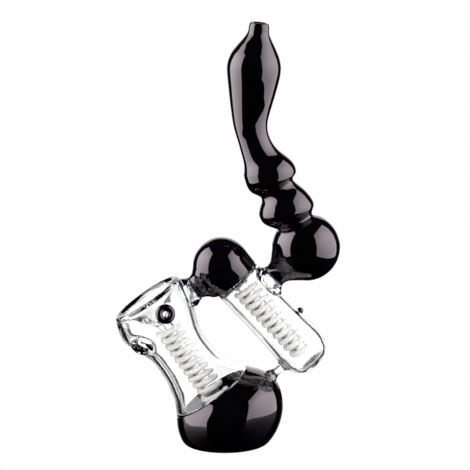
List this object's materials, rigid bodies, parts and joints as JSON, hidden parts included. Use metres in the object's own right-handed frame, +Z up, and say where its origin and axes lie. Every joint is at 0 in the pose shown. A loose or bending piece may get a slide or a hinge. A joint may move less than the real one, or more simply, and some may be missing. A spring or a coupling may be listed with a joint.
{
  "type": "glass bubbler water pipe",
  "caption": "Hand-blown double-chamber glass bubbler: clear hourglass bowl chamber on a black foot bulb, clear rear chamber, coil-wrapped downstems and a black S-curved mouthpiece.",
  "frame": {"origin": "centre of the flat foot under the black base bulb, on the surface it stands on", "axes": "+Z up, +X from the bowl towards the mouthpiece bulb, -Y towards the side with the carb hole and the black donut; the plane Y = 0 holds every axis of the glass"},
  "size_m": [0.1144, 0.0574, 0.2186],
  "materials": {
    "clear_glass": "fire-polished clear borosilicate",
    "black_glass": "opaque black glass, fire-polished, a dark blue cast where it is thin",
    "white_glass": "opaque white glass rod, softly glossy",
    "blue_glass": "clear glass with a dark blue film at the seal"
  },
  "bodies": {
    "root": {"chamber_body": "clear_glass", "bowl_funnel": "clear_glass", "front_downstem": "clear_glass", "carb_lip": "clear_glass", "rear_seal": "clear_glass", "rear_chamber": "clear_glass", "rear_downstem": "clear_glass", "bridge_post": "clear_glass", "base_bulb": "black_glass", "bowl_donut": "black_glass", "link_neck": "black_glass", "link_dome": "black_glass", "rear_bead": "black_glass", "mouth_bulb": "black_glass", "lower_roll": "black_glass", "upper_roll": "black_glass", "mouth_stem": "black_glass", "mouth_tip": "black_glass", "front_coil": "white_glass", "rear_coil": "white_glass", "link_collar": "blue_glass", "mouth_collar": "blue_glass"}
  },
  "joints": []
}
